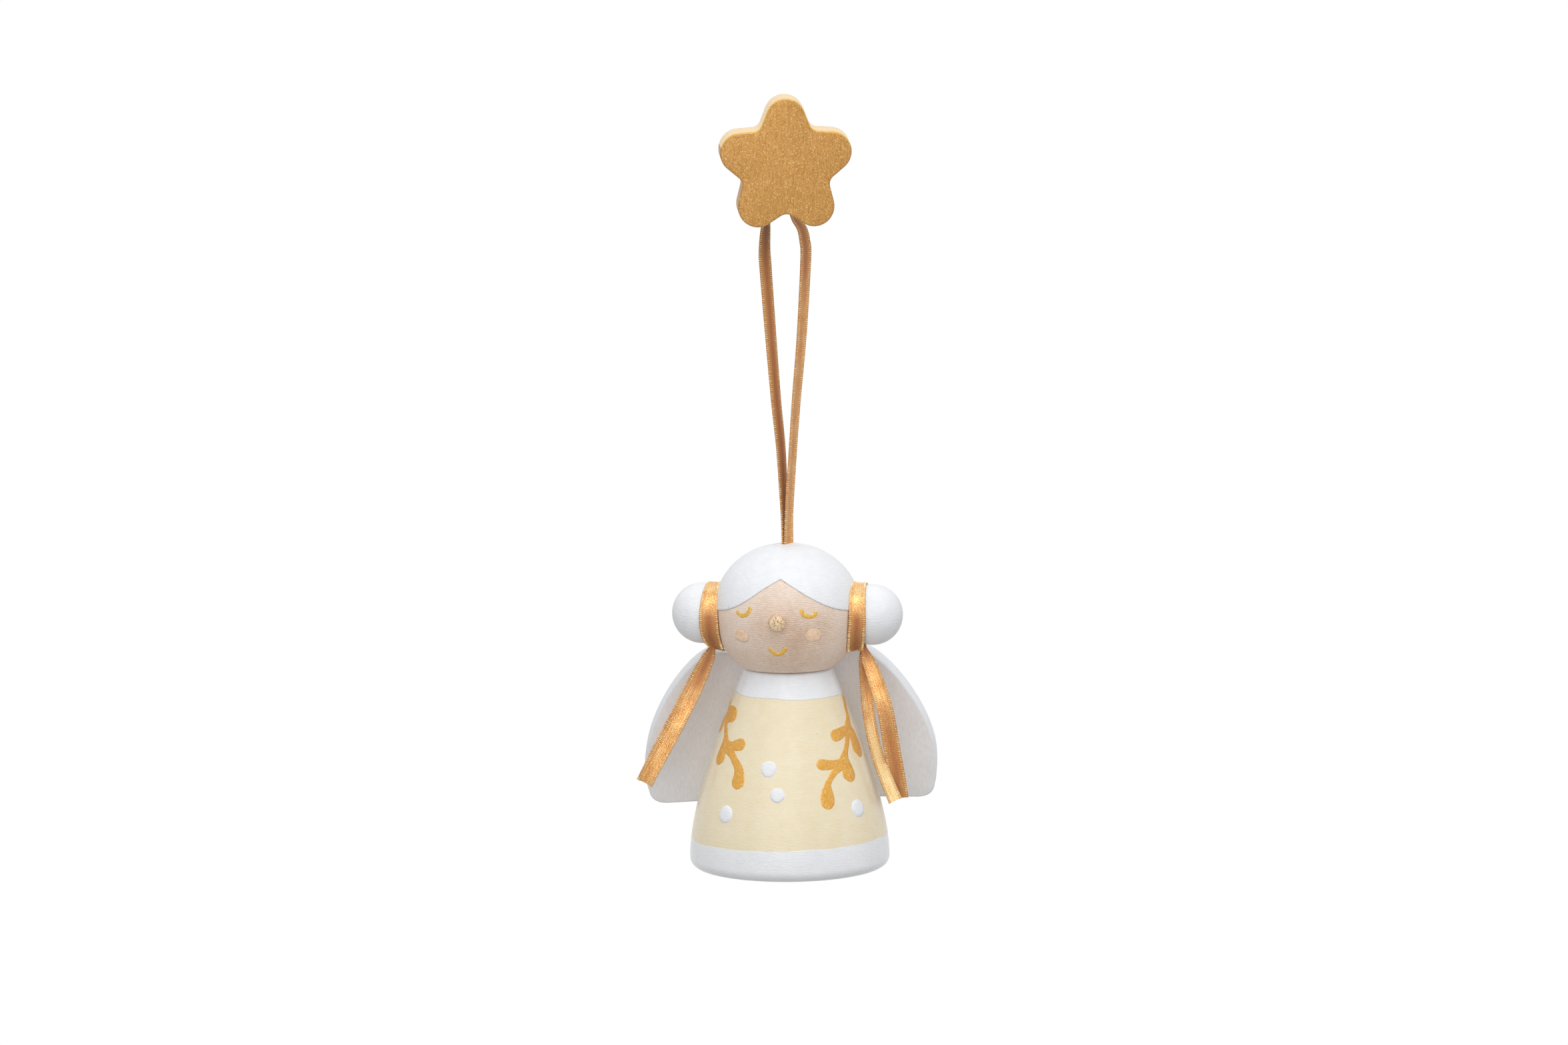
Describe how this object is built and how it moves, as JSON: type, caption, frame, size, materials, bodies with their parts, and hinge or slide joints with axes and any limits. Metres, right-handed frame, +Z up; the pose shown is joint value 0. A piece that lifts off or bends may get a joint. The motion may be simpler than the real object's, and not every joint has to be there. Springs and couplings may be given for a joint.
{
  "type": "hanging angel ornament",
  "caption": "Turned and painted wooden angel with a wing board and ribbon-tied buns, hanging by a satin ribbon loop from a flat wooden star.",
  "frame": {"origin": "on the axis of the peg behind the star, where the ribbon loop hangs", "axes": "+Z up, the angel faces -Y, +X towards the right of someone who looks at its face"},
  "size_m": [0.0541, 0.0354, 0.1416],
  "materials": {
    "gold_paint": "metallic gold paint on wood",
    "satin_ribbon": "gold satin ribbon",
    "bare_beech": "bare, lightly washed",
    "white_paint": "white paint on wood",
    "cream_paint": "cream paint on wood",
    "whitewash": "whitewashed, grain showing"
  },
  "bodies": {
    "star": {"star": "gold_paint", "ribbon_peg": "bare_beech"},
    "ribbon": {"hanging_ribbon": "satin_ribbon"},
    "knot": {"ribbon_knot": "satin_ribbon"},
    "doll": {"head": "bare_beech", "nose_peg": "bare_beech", "left_bun": "white_paint", "right_bun": "white_paint", "left_bun_dowel": "bare_beech", "right_bun_dowel": "bare_beech", "left_bun_ribbon": "satin_ribbon", "right_bun_ribbon": "satin_ribbon", "left_bow_knot": "satin_ribbon", "right_bow_knot": "satin_ribbon", "body": "cream_paint", "neck_dowel": "bare_beech", "wing_board": "whitewash", "wing_dowel_upper": "bare_beech", "wing_dowel_lower": "bare_beech"},
    "left_tails": {"left_tail_front": "satin_ribbon", "left_tail_back": "satin_ribbon"},
    "right_tails": {"right_tail_inner": "satin_ribbon", "right_tail_outer": "satin_ribbon"}
  },
  "joints": [
    {"name": "ribbon_sway", "type": "hinge", "parent": "star", "child": "ribbon", "pos_m": [0, 0, 0], "axis": [0.113, -0.9922, -0.0523], "range_deg": [-30, 30]},
    {"name": "doll_nod", "type": "hinge", "parent": "ribbon", "child": "knot", "pos_m": [0, 0, -0.065], "axis": [1, 0, 0], "range_deg": [-25, 25]},
    {"name": "doll_turn", "type": "hinge", "parent": "knot", "child": "doll", "pos_m": [0, 0, -0.065], "axis": [0, 0, 1], "range_deg": [-180, 180]},
    {"name": "left_tail_swing", "type": "hinge", "parent": "doll", "child": "left_tails", "pos_m": [-0.01341, 0.00105, -0.08325], "axis": [-0.9969, 0.0785, 0], "range_deg": [-15, 45]},
    {"name": "right_tail_swing", "type": "hinge", "parent": "doll", "child": "right_tails", "pos_m": [0.01341, -0.00105, -0.08325], "axis": [-0.9969, 0.0785, 0], "range_deg": [-15, 45]}
  ]
}
